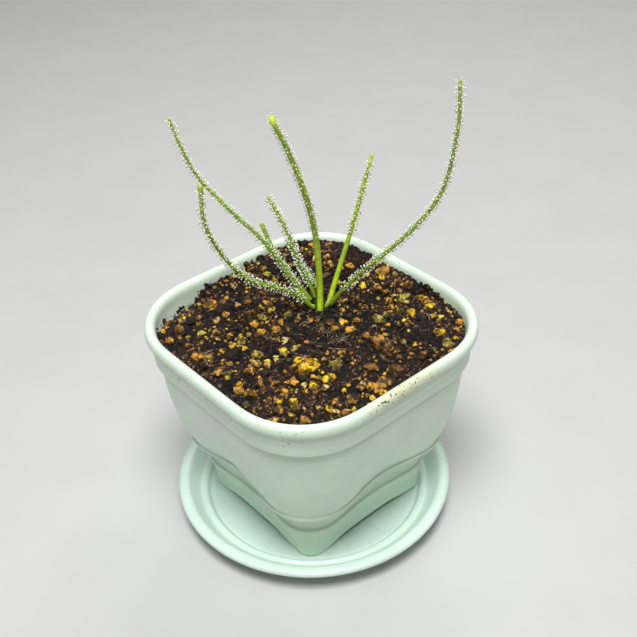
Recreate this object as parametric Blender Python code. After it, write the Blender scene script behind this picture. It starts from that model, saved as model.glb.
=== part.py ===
"""A potted thread-leaf sundew: round saucer, rounded square pot, soil, crown and eight dewy leaves."""

import math
import random

import bmesh
import bpy
from mathutils import Matrix, Vector, noise

MM = 0.001
GAP = 0.3  # clearance between solids that touch, mm
SHARP_ANGLE = math.radians(50)

# The pot and what is in it stand a little off the middle of the saucer, mm
POT_X, POT_Y = 0.6, -0.5

# Saucer, mm
SAUCER_RADIUS = 39.6
SAUCER_HEIGHT = 7.2
SAUCER_FLOOR = 2.2
SAUCER_BASE_RADIUS = 31.5
SAUCER_SEGMENTS = 52

# Pot, mm
POT_HALF_SIDE = 37.5
POT_CORNER = 22.1
POT_TOP = 61.8
WALL = 1.5
FOOT_Z = SAUCER_FLOOR + GAP
FOOT_HALF_SIDE = 22.3
FOOT_CORNER = 4.6
ARCH_RISE = 0.7
ARCH_SHARE = 0.55
FLOOR_TOP = 24.0
FLOOR_THICKNESS = 2.2
DRAIN_RADIUS = 2.5
DRAIN_OFFSET = 10.0
CORNER_POINTS = 7
SIDE_POINTS = 3

# Lip and collar, from the inner edge over the top and down outside: inset from the half side, height
LIP = [(3.1, 59.4), (2.8, 60.8), (2.2, 61.6), (1.3, POT_TOP), (0.5, 61.4), (0.05, 60.6), (0.0, 59.7),
       (0.3, 59.0), (0.9, 58.7), (1.2, 58.3), (1.7, 53.6), (2.2, 53.1)]

# Bowl, top to bottom: height, half side, corner radius, pinch of each side at its middle
BOWL = [(52.6, 35.2, 21.6, 0.0), (45.0, 34.6, 20.6, 0.0), (38.0, 33.6, 19.2, 0.2), (32.0, 32.1, 17.0, 1.0),
        (28.0, 30.5, 14.8, 1.9), (25.4, 29.4, 13.5, 2.4), (23.9, 28.8, 13.0, 2.6)]

# Bead, neck and foot below the bowl, top to bottom: height, half side, corner radius, pinch
WAIST = [(23.4, 29.1, 13.1, 2.6), (22.6, 29.1, 13.1, 2.6), (22.2, 28.2, 12.5, 2.5), (21.0, 26.2, 11.0, 2.1),
         (19.2, 24.7, 9.7, 1.7), (16.5, 24.0, 9.0, 1.4), (14.2, 24.0, 9.0, 1.3), (13.6, 24.5, 9.4, 1.2),
         (12.8, 24.5, 9.2, 1.1), (10.8, 23.9, 8.1, 0.8), (8.0, 23.1, 6.4, 0.4), (5.0, 22.5, 5.1, 0.1)]

# Soil, mm
SOIL_Z = 57.0
SOIL_WAVE = 0.8
SOIL_EDGE_RISE = 0.6
SOIL_BACK_RISE = 2.6
SOIL_HALF_SIDE, SOIL_CORNER = 33.8, 19.4
SOIL_INNER_SCALES = (0.93, 0.8, 0.64, 0.47, 0.3, 0.15)
# The large granules that lie open on the soil, measured from the middle of the saucer: place and width, mm
LARGE_GRANULES = [
    (-10.5, -11.5, 6.4), (-10.0, -19.2, 3.4), (22.9, -26.0, 3.6), (25.2, -13.7, 3.0), (31.1, -13.3, 3.4),
    (30.8, -15.6, 3.2), (31.3, -11.2, 2.8), (9.2, -3.8, 2.6), (13.1, -5.8, 3.0), (30.5, 3.1, 2.4),
    (-9.2, 8.2, 2.4), (-10.6, -2.9, 2.8), (-21.6, 8.8, 2.4), (-18.1, 8.7, 2.2), (-14.3, -18.9, 2.4),
    (-4.9, -15.7, 3.5), (21.7, -29.6, 3.0), (16.6, -9.9, 3.4), (-4.9, 12.7, 3.0), (0.9, 9.2, 3.0),
    (-15.4, 8.0, 2.8), (-16.4, 0.8, 3.4), (-4.3, -29.4, 4.0), (1.0, -23.3, 4.0), (32.4, -5.5, 3.0),
    (-11.6, 26.7, 3.4), (-5.9, 6.3, 2.6), (-22.3, -3.8, 3.0), (-20.4, -14.3, 2.8), (-24.2, -11.3, 2.6),
    (6.1, 16.1, 2.6), (19.3, 14.7, 2.6), (9.8, -18.6, 6.0), (5.1, -28.7, 5.0), (-0.8, -29.2, 4.2),
    (-10.4, -28.6, 3.6), (32.2, 4.4, 4.0), (-27.7, 1.5, 3.2), (-26.3, -20.2, 2.8), (-2.3, 28.8, 3.0),
    (-12.5, 9.5, 2.0), (-6.8, 1.1, 2.4), (-25.8, -0.2, 1.8), (-13.0, -2.3, 2.0), (-17.5, -4.9, 2.2),
    (-15.6, -16.6, 2.0), (-16.6, -29.4, 1.8), (-20.8, 4.8, 5.0),
]

# Middling granules among them: how many, and radius, mm
MIDDLING = 56
MIDDLING_RADII = (0.85, 1.35)
GRANULE_LIFT = 0.1  # how far a granule's middle is above the soil, as a share of its radius

# Crown, mm
CROWN_X, CROWN_Y = 9.3, 6.8
CROWN_RADIUS = 1.9
CROWN_DEPTH = 7.7
CROWN_HEIGHT = 3.0
HOLE_DEPTH = CROWN_DEPTH + GAP

# Tentacles, mm
TENTACLE_STEP = 0.95
TENTACLE_REACH = 1.0
TENTACLE_ROOT = 0.14
DEW_RADIUS = 0.23
GOLDEN_ANGLE = math.radians(137.508)
LEAF_SIDES = 6
RING_SPACING = 5.0
RING_TURN = math.radians(9)

# Leaves whose tip ends in a rolled-up knob: its radius, mm
KNOBS = {"leaf_2": 0.62, "leaf_5": 0.95}

# Each leaf: points of its centre line in mm, radius at base and at tip, bare length at the base
LEAVES = {
    "leaf_1": ([(6.73, 8, 58), (4.2, 13.1, 66.4), (0.2, 18.7, 76.8), (-3.5, 23.4, 83),
                (-9.2, 30.7, 93.5), (-11.5, 33.8, 101.7), (-13, 35.7, 109.9)], 0.62, 0.34, 5),
    "leaf_2": ([(6.53, 6.16, 58.1), (1.2, 9.3, 64.3), (-9.2, 12.6, 71.4), (-15, 14.4, 79.8),
                (-19, 15.6, 90.5), (-19.1, 15.6, 101)], 0.62, 0.42, 5.5),
    "leaf_3": ([(8.28, 9.45, 58.2), (7.1, 12.9, 62.2), (4.2, 18.8, 71.2), (3.2, 22.4, 78.8)],
               0.62, 0.45, 4.5),
    "leaf_4": ([(9.93, 9.55, 58.3), (10, 11.7, 61.7), (9.7, 15.2, 67), (9.6, 20.3, 75.4),
                (9.5, 26.9, 82.8)], 0.6, 0.45, 5),
    "leaf_5": ([(7.29, 4.41, 57.9), (8.7, 5.8, 66), (8.6, 7, 81.3), (5.4, 6.9, 94.1),
                (1, 6.8, 106.4), (-2.3, 6.8, 113.5), (-3.6, 6.4, 116.2)], 0.9, 0.52, 27),
    "leaf_6": ([(12.11, 5.94, 58.1), (14.5, 6.5, 61.9), (17.9, 7.1, 67.8), (22.2, 7.3, 76.8),
                (26.3, 7.7, 85.8), (30.4, 8.2, 94.7)], 0.72, 0.42, 21),
    "leaf_7": ([(10.78, 4.33, 58), (13.6, 1.2, 63.8), (17.8, -4.2, 71.5), (24.1, -12.4, 82.9),
                (28.6, -18.2, 94.7), (30.4, -20.5, 111.1), (30.4, -20.4, 123.4)], 0.66, 0.42, 8),
    "leaf_8": ([(11.29, 8.72, 58.2), (12.2, 11.9, 61), (12.8, 17, 63.4), (14, 22.4, 65)],
               0.55, 0.42, 4),
}


def clear_scene():
    for item in list(bpy.data.objects):
        bpy.data.objects.remove(item, do_unlink=True)


def material(name, colour, roughness):
    made = bpy.data.materials.new(name)
    made.use_nodes = True
    shader = made.node_tree.nodes["Principled BSDF"]
    shader.inputs["Base Color"].default_value = (*colour, 1.0)
    shader.inputs["Roughness"].default_value = roughness
    return made


def add_object(name, shape, finish):
    mesh = bpy.data.meshes.new(name)
    bmesh.ops.recalc_face_normals(shape, faces=shape.faces[:])
    shape.to_mesh(mesh)
    shape.free()
    mesh.materials.append(finish)
    mesh.shade_smooth()
    mesh.set_sharp_from_angle(angle=SHARP_ANGLE)
    made = bpy.data.objects.new(name, mesh)
    bpy.context.scene.collection.objects.link(made)
    return made


def loft(shape, rings):
    """Quads between rings of millimetre points, with a face over each end."""
    rows = [[shape.verts.new(Vector(point) * MM) for point in ring] for ring in rings]
    count = len(rows[0])
    for lower, upper in zip(rows, rows[1:]):
        for i in range(count):
            j = (i + 1) % count
            shape.faces.new((lower[i], lower[j], upper[j], upper[i]))
    shape.faces.new(reversed(rows[0]))
    shape.faces.new(rows[-1])


def circle(radius, z, count, centre=(0.0, 0.0)):
    steps = (2 * math.pi * i / count for i in range(count))
    return [(centre[0] + radius * math.cos(t), centre[1] + radius * math.sin(t), z) for t in steps]


def outline(half, corner, pinch=0.0):
    """A rounded square whose sides curve inwards by pinch at their middle."""
    straight = half - corner
    quarter = []
    for i in range(1, SIDE_POINTS + 1):
        y = straight * (2 * i / (SIDE_POINTS + 1) - 1)
        quarter.append((half - pinch * (1 - (y / straight) ** 2) ** 2, y))
    for i in range(CORNER_POINTS):
        t = math.pi / 2 * i / (CORNER_POINTS - 1)
        quarter.append((straight + corner * math.cos(t), straight + corner * math.sin(t)))
    points = []
    for turn in range(4):
        c, s = ((1, 0), (0, 1), (-1, 0), (0, -1))[turn]
        points += [(x * c - y * s, x * s + y * c) for x, y in quarter]
    return points


def square_ring(z, half, corner, pinch=0.0):
    return [(x, y, z) for x, y in outline(half, corner, pinch)]


def bowl_section(z):
    """Half side, corner radius and pinch of the bowl's outside at a height."""
    rows = sorted(BOWL)
    z = min(max(z, rows[0][0]), rows[-1][0])
    for low, high in zip(rows, rows[1:]):
        if z <= high[0]:
            share = (z - low[0]) / (high[0] - low[0])
            return [a + (b - a) * share for a, b in zip(low[1:], high[1:])]


def inner_section(z, inset):
    half, corner, pinch = bowl_section(z)
    return half - inset, corner - inset, pinch


def foot_ring(inset):
    """The foot's lower edge, raised in a shallow arch along the middle of each side."""
    half = FOOT_HALF_SIDE - inset
    reach = FOOT_HALF_SIDE - FOOT_CORNER
    ring = []
    for x, y in outline(half, FOOT_CORNER - inset):
        along = min(abs(x), abs(y)) / reach
        lift = ARCH_RISE if along < ARCH_SHARE else 0.0
        ring.append((x, y, FOOT_Z + lift))
    return ring


def make_saucer(finish):
    profile = [(SAUCER_BASE_RADIUS, 0.0), (34.2, 1.3), (37.4, 4.3), (39.0, 5.4), (SAUCER_RADIUS, 6.1),
               (SAUCER_RADIUS, 6.7), (39.1, SAUCER_HEIGHT), (37.5, SAUCER_HEIGHT), (36.9, 6.8),
               (35.2, 4.9), (33.6, 3.2), (32.9, 2.8), (32.4, 3.3), (31.4, 3.3), (30.8, SAUCER_FLOOR)]
    shape = bmesh.new()
    loft(shape, [circle(r, z, SAUCER_SEGMENTS) for r, z in profile])
    return add_object("saucer", shape, finish)


def make_pot(finish):
    inside = []
    for z in (FLOOR_TOP, 24.6, 26.2, 28.6, 32.0, 38.0, 45.0, 52.6):
        inside.append(square_ring(z, *inner_section(z + 0.4, WALL)))
    lip = [square_ring(z, POT_HALF_SIDE - inset, POT_CORNER - inset) for inset, z in LIP]
    outside = [square_ring(*row) for row in BOWL + WAIST]
    under_z = FLOOR_TOP - FLOOR_THICKNESS
    skirt = [foot_ring(0.0), foot_ring(WALL), square_ring(8.0, 21.5, 5.0, 0.4), square_ring(13.0, 22.3, 7.6, 1.1),
             square_ring(under_z, 22.4, 7.8, 1.5)]
    shape = bmesh.new()
    loft(shape, inside + lip + outside + skirt)
    pot = add_object("pot", shape, finish)
    drains = bpy.data.collections.new("drains")
    corners = [(x, y) for x in (-DRAIN_OFFSET, DRAIN_OFFSET) for y in (-DRAIN_OFFSET, DRAIN_OFFSET)]
    for centre in [(0, 0)] + corners:
        cutter = bmesh.new()
        loft(cutter, [circle(DRAIN_RADIUS, z, 10, centre) for z in (under_z - 2, FLOOR_TOP + 2)])
        move_to(add_object("drain", cutter, finish), drains)
    fuse(pot, drains, "DIFFERENCE")
    return pot


def move_to(item, collection):
    for owner in list(item.users_collection):
        owner.objects.unlink(item)
    collection.objects.link(item)


def fuse(target, collection, operation="UNION"):
    """Joins a collection's objects to the target, or cuts them from it, and removes them."""
    scene_root = bpy.context.scene.collection
    scene_root.children.link(collection)
    step = target.modifiers.new("fuse", "BOOLEAN")
    step.operation = operation
    step.solver = "MANIFOLD"
    step.use_self = False
    step.operand_type = "COLLECTION"
    step.collection = collection
    bpy.context.view_layer.update()
    evaluated = target.evaluated_get(bpy.context.evaluated_depsgraph_get())
    mesh = bpy.data.meshes.new_from_object(evaluated)
    target.modifiers.clear()
    old = target.data
    target.data = mesh
    mesh.name = target.name
    bpy.data.meshes.remove(old)
    for item in list(collection.objects):
        bpy.data.objects.remove(item, do_unlink=True)
    bpy.data.collections.remove(collection)


def soil_height(x, y):
    """A gently uneven surface that rises towards the walls, most at the back corner."""
    wave = noise.noise(Vector((x * 0.06, y * 0.06, 3.7))) + 0.5 * noise.noise(Vector((x * 0.17, y * 0.17, 9.1)))
    to_back = max(0.0, math.cos(math.atan2(y, x) - math.pi / 4)) ** 5
    outwards = min(1.0, max(0.0, (math.hypot(x, y) - 12.0) / 20.0)) ** 1.5
    rise = (SOIL_EDGE_RISE + SOIL_BACK_RISE * to_back) * outwards
    near_crown = math.exp(-((x - CROWN_X) ** 2 + (y - CROWN_Y) ** 2) / 60.0)
    return SOIL_Z + (SOIL_WAVE * wave + rise) * (1 - near_crown)


def make_soil(finish):
    inset = WALL + GAP
    rings = [square_ring(z, *inner_section(z + 0.4, inset + 0.05))
             for z in (FLOOR_TOP + GAP, 24.9, 26.3, 28.6, 32.0, 38.0, 45.0, 52.4)]
    edge = outline(SOIL_HALF_SIDE, SOIL_CORNER)
    rings.append([(x, y, soil_height(x, y) - 0.8) for x, y in edge])
    for scale in SOIL_INNER_SCALES:
        ring = []
        for x, y in edge:
            x, y = CROWN_X + (x - CROWN_X) * scale, CROWN_Y + (y - CROWN_Y) * scale
            ring.append((x, y, soil_height(x, y)))
        rings.append(ring)
    shape = bmesh.new()
    loft(shape, rings)
    soil = add_object("soil", shape, finish)
    add_granules(soil, finish)
    hole = bpy.data.collections.new("hole")
    cutter = bmesh.new()
    levels = (SOIL_Z - HOLE_DEPTH, SOIL_Z + 4.0)
    loft(cutter, [circle(CROWN_RADIUS + GAP, z, 12, (CROWN_X, CROWN_Y)) for z in levels])
    move_to(add_object("stem_hole", cutter, finish), hole)
    fuse(soil, hole, "DIFFERENCE")
    return soil


def granule_places():
    """Place and radius of every granule in the pot's own frame, mm: the large ones, then middling ones between."""
    draw = random.Random(11)
    placed = [(x - POT_X, y - POT_Y, width / 2) for x, y, width in LARGE_GRANULES]
    straight = SOIL_HALF_SIDE - SOIL_CORNER
    while len(placed) < len(LARGE_GRANULES) + MIDDLING:
        radius = draw.uniform(*MIDDLING_RADII)
        x, y = draw.uniform(-32.0, 32.0), draw.uniform(-32.0, 32.0)
        from_wall = SOIL_CORNER - math.hypot(max(0.0, abs(x) - straight), max(0.0, abs(y) - straight))
        from_crown = math.hypot(x - CROWN_X, y - CROWN_Y)
        bare = math.hypot(x - 5.4, y + 3.5) < 8.0
        crowded = any(math.hypot(x - a, y - b) < 1.05 * (radius + r) for a, b, r in placed)
        if from_wall > radius + 0.5 and from_crown > 4.6 + radius and not bare and not crowded:
            placed.append((x, y, radius))
    return placed


def add_granules(soil, finish):
    """Rough granules, sunk by about half, raised from the soil in the same solid."""
    draw = random.Random(3)
    granules = bpy.data.collections.new("granules")
    for x, y, radius in granule_places():
        grain = bmesh.new()
        bmesh.ops.create_icosphere(grain, subdivisions=1, radius=radius * MM)
        for vertex in grain.verts:
            vertex.co *= draw.uniform(0.9, 1.12)
        place = Matrix.Translation(Vector((x, y, soil_height(x, y) + GRANULE_LIFT * radius)) * MM)
        turn = Matrix.Rotation(draw.uniform(0, math.tau), 4, draw.choice("XYZ"))
        squash = Matrix.Diagonal((1.0, draw.uniform(0.8, 1.0), 0.8, 1.0))
        bmesh.ops.transform(grain, matrix=place @ squash @ turn, verts=grain.verts)
        move_to(add_object("granule", grain, finish), granules)
    fuse(soil, granules)


def make_crown(finish):
    top = SOIL_Z + CROWN_HEIGHT
    profile = [(0.7, SOIL_Z - CROWN_DEPTH), (CROWN_RADIUS, SOIL_Z - CROWN_DEPTH + 1.2),
               (CROWN_RADIUS, top - 1.8), (1.3, top - 0.8), (0.5, top)]
    shape = bmesh.new()
    loft(shape, [circle(r, z, 10, (CROWN_X, CROWN_Y)) for r, z in profile])
    return add_object("crown", shape, finish)


def curve(points):
    """Closely spaced points along a Catmull-Rom curve through the given ones."""
    knots = [Vector(p) for p in points]
    knots = [2 * knots[0] - knots[1]] + knots + [2 * knots[-1] - knots[-2]]
    fine = []
    for a, b, c, d in zip(knots, knots[1:], knots[2:], knots[3:]):
        for i in range(24):
            t = i / 24
            fine.append(0.5 * (2 * b + (c - a) * t + (2 * a - 5 * b + 4 * c - d) * t * t
                               + (3 * b - 3 * c + d - a) * t ** 3))
    fine.append(knots[-2])
    return fine


def spaced(line, step):
    """Evenly spaced points along a line of short straight pieces, and its length."""
    lengths = [0.0]
    for a, b in zip(line, line[1:]):
        lengths.append(lengths[-1] + (b - a).length)
    count = max(2, round(lengths[-1] / step))
    points, k = [], 0
    for i in range(count + 1):
        target = lengths[-1] * i / count
        while k < len(lengths) - 2 and lengths[k + 1] < target:
            k += 1
        share = (target - lengths[k]) / (lengths[k + 1] - lengths[k])
        points.append(line[k].lerp(line[k + 1], share))
    return points, lengths[-1]


def thinned(line):
    """The same line with a point only where it has turned or run far enough for the next ring."""
    points = spaced(line, 0.5)[0]
    kept = [points[0]]
    start = points[1] - points[0]
    for i in range(1, len(points) - 1):
        heading = points[i + 1] - points[i]
        far = (points[i] - kept[-1]).length
        if far > RING_SPACING or (far > 0.9 and heading.angle(start) > RING_TURN):
            kept.append(points[i])
            start = heading
    return kept + [points[-1]]


def frames(route):
    """A tangent and two side directions at each point, carried along without twist."""
    side = Vector((0.31, 0.95, 0.0))
    made = []
    for i, point in enumerate(route):
        ahead = route[min(i + 1, len(route) - 1)] - route[max(i - 1, 0)]
        tangent = ahead.normalized()
        side = (side - tangent * side.dot(tangent)).normalized()
        made.append((point, tangent, side, tangent.cross(side)))
    return made


def make_leaf(name, finish, taken):
    points, base_radius, tip_radius, bare = LEAVES[name]
    route = thinned(curve(points))
    stations, length = spaced(route, TENTACLE_STEP)
    rings = []
    run = 0.0
    along = frames(route)
    for i, (point, tangent, u, v) in enumerate(along):
        run += (point - along[max(i - 1, 0)][0]).length
        radius = base_radius + (tip_radius - base_radius) * run / length
        turns = [math.tau * k / LEAF_SIDES for k in range(LEAF_SIDES)]
        rings.append([point + (u * math.cos(t) + v * math.sin(t)) * radius for t in turns])
    point, tangent, u, v = along[-1]
    rings.append([point + tangent * tip_radius * 0.8 + (p - point) * 0.45 for p in rings[-1]])
    shape = bmesh.new()
    loft(shape, rings)
    leaf = add_object(name, shape, finish)
    tentacles = bpy.data.collections.new(name + "_tentacles")
    if name in KNOBS:
        knob = bmesh.new()
        bmesh.ops.create_icosphere(knob, subdivisions=2, radius=KNOBS[name] * MM)
        bmesh.ops.translate(knob, verts=knob.verts, vec=point * MM)
        move_to(add_object("knob", knob, finish), tentacles)
    draw = random.Random(name)
    for k, (point, tangent, u, v) in enumerate(frames(stations)):
        share = k / (len(stations) - 1)
        if share * length < bare:
            continue
        angle = k * GOLDEN_ANGLE
        radius = base_radius + (tip_radius - base_radius) * share
        outwards = (u * math.cos(angle) + v * math.sin(angle) + tangent * draw.uniform(0.0, 0.4)).normalized()
        reach = TENTACLE_REACH * draw.uniform(0.85, 1.1)
        head = point + outwards * (radius + reach)
        if any(other != name and (head - spot).length < room for other, spot, room in taken):
            continue
        taken.append((name, head, 2 * DEW_RADIUS + GAP))
        tentacle = bmesh.new()
        add_tentacle(tentacle, point, outwards, radius, reach)
        move_to(add_object("tentacle", tentacle, finish), tentacles)
    fuse(leaf, tentacles)
    return leaf


def add_tentacle(shape, point, outwards, radius, reach):
    """A three-sided stalk that widens to its drop of dew and closes to a point."""
    side = outwards.orthogonal().normalized()
    other = outwards.cross(side)
    levels = [(0.35 * radius, TENTACLE_ROOT), (radius + 0.72 * reach, DEW_RADIUS), (radius + reach, 0.05)]
    rings = []
    for height, width in levels:
        turns = [math.tau * k / 3 for k in range(3)]
        rings.append([point + outwards * height + (side * math.cos(t) + other * math.sin(t)) * width
                      for t in turns])
    loft(shape, rings)


def leaf_rooms():
    """Where each leaf's own thread runs, and how far the heads of other leaves' tentacles stay from it."""
    taken = []
    for name, (points, base_radius, _, _) in LEAVES.items():
        taken += [(name, spot, base_radius + DEW_RADIUS + GAP) for spot in spaced(curve(points), 0.4)[0]]
    return taken


def main():
    clear_scene()
    white = material("pot_plastic", (0.78, 0.82, 0.78), 0.35)
    dish = material("saucer_plastic", (0.80, 0.84, 0.80), 0.3)
    peat = material("peat", (0.035, 0.022, 0.016), 0.95)
    stem = material("crown_green", (0.16, 0.22, 0.05), 0.5)
    green = material("leaf_green", (0.20, 0.32, 0.05), 0.4)
    make_saucer(dish)
    make_pot(white)
    make_soil(peat)
    make_crown(stem)
    taken = leaf_rooms()
    for name in LEAVES:
        make_leaf(name, green, taken)
    for item in bpy.data.objects:
        if item.name != "saucer":
            item.data.transform(Matrix.Translation(Vector((POT_X, POT_Y, 0.0)) * MM))


main()
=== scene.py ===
"""A potted thread-leaf sundew, dressed over its packed solids and laid out as a Blender add-on."""

import functools
import math
import random

import bmesh
import bpy
from mathutils import Matrix, Vector, noise


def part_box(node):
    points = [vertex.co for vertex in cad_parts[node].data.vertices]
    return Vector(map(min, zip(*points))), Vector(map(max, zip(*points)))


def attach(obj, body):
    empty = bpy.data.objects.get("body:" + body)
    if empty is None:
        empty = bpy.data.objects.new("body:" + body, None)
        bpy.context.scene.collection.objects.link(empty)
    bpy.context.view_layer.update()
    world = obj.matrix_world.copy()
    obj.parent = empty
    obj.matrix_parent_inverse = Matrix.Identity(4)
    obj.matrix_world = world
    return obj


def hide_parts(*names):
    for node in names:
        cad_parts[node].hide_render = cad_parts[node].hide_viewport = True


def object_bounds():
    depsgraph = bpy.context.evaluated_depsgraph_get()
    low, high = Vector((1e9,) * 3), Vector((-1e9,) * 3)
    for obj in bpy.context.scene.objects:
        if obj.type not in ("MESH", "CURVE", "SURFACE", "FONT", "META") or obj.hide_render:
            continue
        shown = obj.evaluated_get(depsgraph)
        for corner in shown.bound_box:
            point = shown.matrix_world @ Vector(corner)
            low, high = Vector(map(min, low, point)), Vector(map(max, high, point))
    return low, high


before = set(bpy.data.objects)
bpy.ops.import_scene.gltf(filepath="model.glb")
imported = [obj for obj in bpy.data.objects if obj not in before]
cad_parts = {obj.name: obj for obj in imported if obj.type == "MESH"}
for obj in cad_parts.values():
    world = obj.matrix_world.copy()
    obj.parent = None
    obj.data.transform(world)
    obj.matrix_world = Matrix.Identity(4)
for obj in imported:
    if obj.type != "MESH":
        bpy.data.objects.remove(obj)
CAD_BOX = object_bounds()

bl_info = {
    "name": "Potted Sundew",
    "version": (1, 0, 0),
    "blender": (4, 5, 0),
    "location": "View3D > Sidebar > Sundew",
    "description": "Builds a thread-leaf sundew in its plastic pot and saucer",
    "category": "Add Mesh",
}

MM = 0.001

# The pot and all it holds stand a little off the middle of the saucer, mm
POT_X, POT_Y = 0.6, -0.5

# Lip and collar, from the inner edge over the top and down outside: inset from the half side, height, mm
LIP = [(3.25, 57.6), (3.15, 59.4), (2.95, 60.6), (2.5, 61.3), (1.9, 61.7), (1.3, 61.8), (0.7, 61.6), (0.25, 61.1),
       (0.02, 60.5), (0.0, 59.6), (0.12, 59.0), (0.5, 58.7), (1.0, 58.6), (1.25, 58.4), (1.3, 57.8),
       (1.33, 56.4), (1.35, 55.7), (1.5, 55.4), (1.62, 55.0), (1.65, 54.3), (1.65, 52.3), (1.67, 51.9),
       (1.8, 51.65), (2.4, 51.6)]

# Fine groove under the collar: height, half side, corner radius, mm
GROOVE = [(51.58, 34.7, 21.4), (51.5, 34.6, 21.4), (51.25, 34.6, 21.4), (51.12, 34.7, 21.4), (51.05, 35.0, 21.4)]

# Bowl, top to bottom: height, half side, corner radius, pinch of each side at its middle, mm
BOWL = [(50.5, 35.1, 21.4, 0.0), (45.0, 34.6, 20.6, 0.0), (38.0, 33.6, 19.2, 0.2),
        (32.0, 32.1, 17.0, 1.0), (28.0, 30.5, 14.8, 1.9), (25.4, 29.4, 13.5, 2.4), (24.3, 28.9, 13.1, 2.6),
        (23.9, 28.75, 13.0, 2.6)]

# Bead, neck and foot under the bowl, top to bottom: height, half side, corner radius, pinch, mm
WAIST = [(23.75, 28.8, 13.0, 2.6), (23.6, 29.0, 13.1, 2.6), (23.3, 29.1, 13.1, 2.6), (22.8, 29.1, 13.1, 2.6),
         (22.5, 28.9, 13.0, 2.6), (22.35, 28.4, 12.7, 2.5), (21.8, 27.2, 11.8, 2.3), (20.6, 25.7, 10.6, 2.0),
         (19.0, 24.6, 9.6, 1.7), (16.5, 24.0, 9.0, 1.4), (14.6, 23.95, 8.9, 1.3), (14.1, 24.05, 9.0, 1.3),
         (13.85, 24.3, 9.2, 1.2), (13.6, 24.5, 9.4, 1.2), (13.2, 24.55, 9.4, 1.2), (12.4, 24.4, 9.1, 1.1),
         (10.8, 23.9, 8.1, 0.8), (8.0, 23.1, 6.4, 0.4), (5.0, 22.5, 5.1, 0.1), (3.6, 22.35, 4.8, 0.0)]

# Inner face of the bowl, from the floor up: height, distance in from the outer face, mm
INSIDE = [(24.0, 2.0), (24.4, 1.5), (25.6, 1.5), (28.0, 1.5), (32.0, 1.5), (38.0, 1.5), (45.0, 1.5), (52.0, 1.5),
          (55.0, 1.25)]

# The foot's lower edge: height, half side, corner radius; and its roundings from outside in: inset, lift, mm
FOOT_HEIGHT, FOOT_HALF, FOOT_CORNER = 2.5, 22.3, 4.6
FOOT_EDGE = [(0.0, 0.4), (0.15, 0.06), (0.5, 0.0), (1.2, 0.0), (1.5, 0.3)]

# The hollow under the floor, from the foot up: height, half side, corner radius, pinch, mm
HOLLOW = [(8.0, 21.5, 5.0, 0.4), (13.0, 22.3, 7.6, 1.1), (21.3, 22.4, 7.8, 1.5), (21.8, 21.8, 7.6, 1.5)]

# Arch in each side of the foot: how far it rises and the height where it has died away, mm, then the shares of
# half a side where it ends and over which it falls off
ARCH_RISE, ARCH_TOP = 1.9, 8.0
ARCH_END, ARCH_FALL = 0.92, 0.5

# Drain holes, from the middle of the floor, mm
DRAINS = [(0, 0), (-10, -10), (-10, 10), (10, -10), (10, 10)]

# The pot's inner wall at the soil: half side and corner radius, mm
INNER_HALF, INNER_CORNER = 34.2, 19.4

# Points round each corner and along each side of the pot's outlines
CORNER_POINTS, SIDE_POINTS = 9, 7

# Saucer, from its flat underside out, over the rim and in: radius, height in mm
SAUCER_PROFILE = [(10.0, 0.0), (28.0, 0.0), (31.0, 0.0), (31.6, 0.15), (33.2, 0.8), (35.6, 2.7), (37.5, 4.5),
                  (38.6, 5.1), (39.2, 5.45), (39.55, 5.9), (39.6, 6.4), (39.4, 6.9), (38.9, 7.2), (38.0, 7.3),
                  (37.1, 7.2), (36.5, 6.9), (36.1, 6.4), (35.0, 4.9), (33.9, 3.6), (33.4, 3.1), (33.0, 2.95),
                  (32.6, 3.1), (32.25, 3.45), (31.9, 3.55), (31.5, 3.45), (31.1, 2.9), (30.75, 2.4), (30.4, 1.95),
                  (30.1, 1.95), (29.8, 2.2), (29.0, 2.2), (20.0, 2.2), (8.0, 2.2)]

# Height of the soil where it meets the wall, mm, by bearing from the middle of the pot in degrees
SOIL_EDGE = [(-180, 57.6), (-135, 57.6), (-90, 57.6), (-45, 58.4), (-30, 58.2), (-22, 57.8), (-10, 59.4),
             (11, 60.0), (19, 59.1), (34, 60.4), (53, 60.6), (65, 59.8), (85, 59.0), (101, 59.2), (108, 56.2),
             (114, 54.2), (122, 53.6), (130, 55.4), (138, 57.8), (150, 57.4), (180, 57.6)]

# Middle of the plant from the middle of the pot, and its stem from the root up: radius, height, mm
CROWN = (9.3, 6.8)
STEM = [(0.7, 49.3), (1.9, 50.4), (1.9, 56.5), (1.9, 58.0), (1.65, 58.8), (1.1, 59.5), (0.4, 59.95)]

# Young buds: points from the stem's middle, and radius at each, mm
BUDS = [([(0.2, -2.0, 57.4), (0.3, -2.6, 58.6), (0.5, -3.0, 59.8), (0.6, -3.1, 60.5)], [0.5, 0.62, 0.5, 0.12]),
        ([(-1.9, -0.2, 57.6), (-2.6, -0.5, 58.6), (-3.3, -0.6, 59.3)], [0.4, 0.5, 0.15])]

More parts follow.
